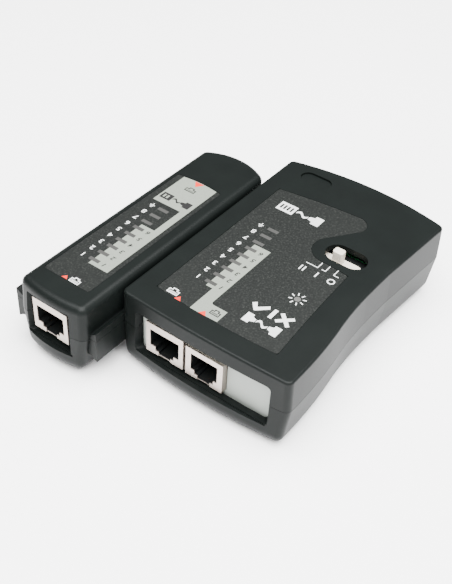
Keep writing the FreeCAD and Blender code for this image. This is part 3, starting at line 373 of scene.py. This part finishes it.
def plug_shape(x, y, long, wide, turn):
    """A plug seen from the side with its cord stub, pointing along +X or -X."""
    w = wide / 2
    points = [(0, -w), (long * 0.62, -w), (long * 0.62, -w * 0.55), (long, -w * 0.3),
              (long, w * 0.3), (long * 0.62, w * 0.55), (long * 0.62, w), (0, w)]
    return [(x + turn * u, y + v) for u, v in points]


def wave(x0, x1, y, tall, wide, steps=24):
    """A wavy line, one wave long, between two pieces of a sign."""
    top, bottom = [], []
    for i in range(steps + 1):
        share = i / steps
        x = x0 + (x1 - x0) * share
        level = y + tall * math.sin(2 * math.pi * share)
        top.append((x, level + wide / 2))
        bottom.append((x, level - wide / 2))
    return top + bottom[::-1]


def device_sign(x, y, long, wide):
    """A unit with a row of lights: a filled block with holes."""
    block = rect(x - long / 2, x + long / 2, y - wide / 2, y + wide / 2)
    holes = [rect(x - long / 2 + 0.9 + 1.5 * i, x - long / 2 + 1.75 + 1.5 * i,
                  y - wide * 0.26, y + wide * 0.26) for i in range(int((long - 1.2) / 1.5))]
    return [block] + holes


# Far end of the master's label: a unit, a cable and a plug.
print_shapes("master_sign_unit", device_sign(-17.6, 21.35, 7.2, 5.4), WHITE_INK, "master")
print_shapes("master_sign_cable", [wave(-13.3, -8.2, 21.35, 0.9, 1.1)], WHITE_INK, "master")
print_shapes("master_sign_plug", [plug_shape(-2.4, 21.35, 5.4, 5.2, -1)], WHITE_INK, "master")

# Near right part: a cable between two plugs, and under it a tick, a bar and a cross.
print_shapes("master_sign_plug_a", [plug_shape(5.0, -37.3, 4.2, 4.6, 1)], WHITE_INK, "master")
print_shapes("master_sign_wave", [wave(9.6, 14.0, -37.3, 0.9, 1.1)], WHITE_INK, "master")
print_shapes("master_sign_plug_b", [plug_shape(18.6, -37.3, 4.2, 4.6, -1)], WHITE_INK, "master")
print_shapes("master_sign_tick", [[(3.2, -30.4), (4.5, -29.2), (5.9, -31.3), (9.2, -28.3),
                                   (9.9, -29.6), (6.2, -33.2), (5.6, -33.2)][::-1]],
             WHITE_INK, "master")
print_shapes("master_sign_bar", [rect(11.2, 12.6, -33.2, -28.4)], WHITE_INK, "master")
print_shapes("master_sign_cross_a", [stroke(14.8, -32.6, 18.6, -29.0, 1.4)], WHITE_INK, "master")
print_shapes("master_sign_cross_b", [stroke(14.8, -29.0, 18.6, -32.6, 1.4)], WHITE_INK,
             "master", 1)

# Power light: rays round the window.
power = [(a + b) / 2 / MM for a, b in zip(*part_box("master_power_window"))][:2]
for i in range(8):
    angle = math.pi / 4 * i + math.pi / 8
    u, v = math.cos(angle), math.sin(angle)
    ray = stroke(power[0] + 2.05 * u, power[1] + 2.05 * v,
                 power[0] + 2.95 * u, power[1] + 2.95 * v, 0.42)
    print_shapes(f"master_ray_{i}", [ray], WHITE_INK, "master")

# Switch marks: a line to each of the three positions, and a ring, a bar and two bars.
TICKS = [(10.4, 5.6, -0.9), (13.6, 12.1, -0.9), (17.0, 19.1, -0.9)]
TICK_HALF = 0.16
for i, (x, end, y) in enumerate(TICKS):
    side = TICK_HALF if end > x else -TICK_HALF
    corner = [(x - TICK_HALF, 2.4), (x + TICK_HALF, 2.4), (x + TICK_HALF, y + side),
              (end, y + side), (end, y - side), (x - TICK_HALF, y - side)]
    print_shapes(f"switch_tick_{i}", [corner], WHITE_INK, "master")
print_shapes("switch_ring", [disc(18.1, -4.4, 1.45), disc(18.1, -4.4, 0.98)],
             WHITE_INK, "master")
print_shapes("switch_bar", [rect(11.9, 12.45, -5.8, -3.0)], WHITE_INK, "master")
print_shapes("switch_bars", [rect(5.3, 5.8, -5.8, -3.0), rect(6.7, 7.2, -5.8, -3.0)],
             WHITE_INK, "master")

# Remote label.
remote_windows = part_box("remote_light_windows")
remote_x = (remote_windows[0].x + remote_windows[1].x) / 2 / MM
remote_rows = light_rows(remote_windows)
far_arc = [(-60.1 + 15.9 * i / 12, 11.7 + 0.95 * math.sin(math.pi * (0.09 + 0.82 * i / 12)))
           for i in range(13)]
window_edge = remote_x + 2.36
GREY_LEFT = -52.9       # left edge of the grey print beside the lights
GREY_NEAR = -50.4
remote_grey = [(GREY_LEFT, GREY_NEAR)]
remote_grey += light_gaps(GREY_LEFT, window_edge, remote_rows)
remote_grey += [(GREY_LEFT, -21.9), (-47.0, -21.9), (-47.0, -6.9), (-60.1, -6.9)]
remote_grey += far_arc + [(-44.2, GREY_NEAR)]
print_shapes("remote_grey_print", [remote_grey], GREY_INK, "remote")
mark_lights("remote", remote_rows, number_x=-57.6, pair_x=-47.7)
print_shapes("remote_arrow_near", [triangle(-53.7, -61.6, -59.9, 1.3)], RED_INK, "remote", 1)
print_shapes("remote_arrow_far", [triangle(-52.6, 12.35, 9.4, 2.1)], RED_INK, "remote", 1)
print_shapes("remote_jack_mark_8", jack_icon(-49.7, -60.2, 4.2, 2.8, 8), WHITE_INK, "remote")
print_shapes("remote_jack_mark_6", jack_icon(-52.6, 6.6, 4.6, 2.8, 6), BLACK_INK, "remote", 1)
print_shapes("remote_sign_unit", device_sign(-57.0, -2.4, 4.8, 3.8), BLACK_INK, "remote", 1)
print_shapes("remote_sign_cable", [wave(-54.2, -50.6, -2.4, 0.7, 0.9)], BLACK_INK, "remote", 1)
print_shapes("remote_sign_plug", [plug_shape(-45.8, -2.4, 4.6, 3.8, -1)], BLACK_INK, "remote", 1)

# ------------------------------------------------------------------------ floor and lights

floor_mesh = bpy.data.meshes.new("floor")
reach = 3.0
floor_mesh.from_pydata([(-reach, -reach, 0), (reach, -reach, 0), (reach, reach, 0),
                        (-reach, reach, 0)], [], [(0, 1, 2, 3)])
floor = bpy.data.objects.new("floor", floor_mesh)
floor.location.z = -0.00005
bpy.context.scene.collection.objects.link(floor)
floor_mat, _, floor_shader = new_material("floor_paper")
floor_shader.inputs["Base Color"].default_value = (0.93, 0.93, 0.93, 1)
floor_shader.inputs["Roughness"].default_value = 0.95
floor_shader.inputs["Specular IOR Level"].default_value = 0.0
floor_mesh.materials.append(floor_mat)

world = bpy.context.scene.world or bpy.data.worlds.new("studio")
bpy.context.scene.world = world
world.use_nodes = True
background = world.node_tree.nodes["Background"]
background.inputs["Color"].default_value = (1, 1, 1, 1)
background.inputs["Strength"].default_value = 0.3


def area_light(name, place, target, size, power):
    lamp = bpy.data.lights.new(name, "AREA")
    lamp.shape = "RECTANGLE"
    lamp.size, lamp.size_y = size
    lamp.energy = power
    holder = bpy.data.objects.new(name, lamp)
    holder.location = place
    holder.rotation_euler = (Vector(target) - Vector(place)).to_track_quat("-Z", "Y").to_euler()
    bpy.context.scene.collection.objects.link(holder)


area_light("overhead_softbox", (0.1, -0.1, 1.0), (0, 0, 0), (1.2, 1.2), 95)
area_light("front_softbox", (0.2, -0.95, 0.3), (0, 0, 0.02), (0.9, 0.4), 4)
area_light("right_softbox", (0.95, 0.15, 0.4), (0, 0, 0.02), (0.9, 0.6), 6)

# --------------------------------------------------------------------------------- camera

camera_data = bpy.data.cameras.new("camera")
camera = bpy.data.objects.new("camera", camera_data)
bpy.context.scene.collection.objects.link(camera)
bpy.context.scene.camera = camera
FOCAL_PX = 938.08
FRAME_TALL = 584
SENSOR_WIDE = 36.0
camera_data.sensor_fit = "AUTO"
camera_data.sensor_width = SENSOR_WIDE
camera_data.lens = FOCAL_PX * SENSOR_WIDE / FRAME_TALL
camera_data.clip_start = 0.01
CAMERA_PLACE = (0.127814, -0.228653, 0.243042)
CAMERA_RIGHT = (0.800103, 0.598018, 0.047013)
CAMERA_UP = (-0.426081, 0.511396, 0.746277)
right, up = Vector(CAMERA_RIGHT), Vector(CAMERA_UP)
turn = Matrix((right, up, right.cross(up))).transposed().to_4x4()
camera.matrix_world = Matrix.Translation(Vector(CAMERA_PLACE)) @ turn
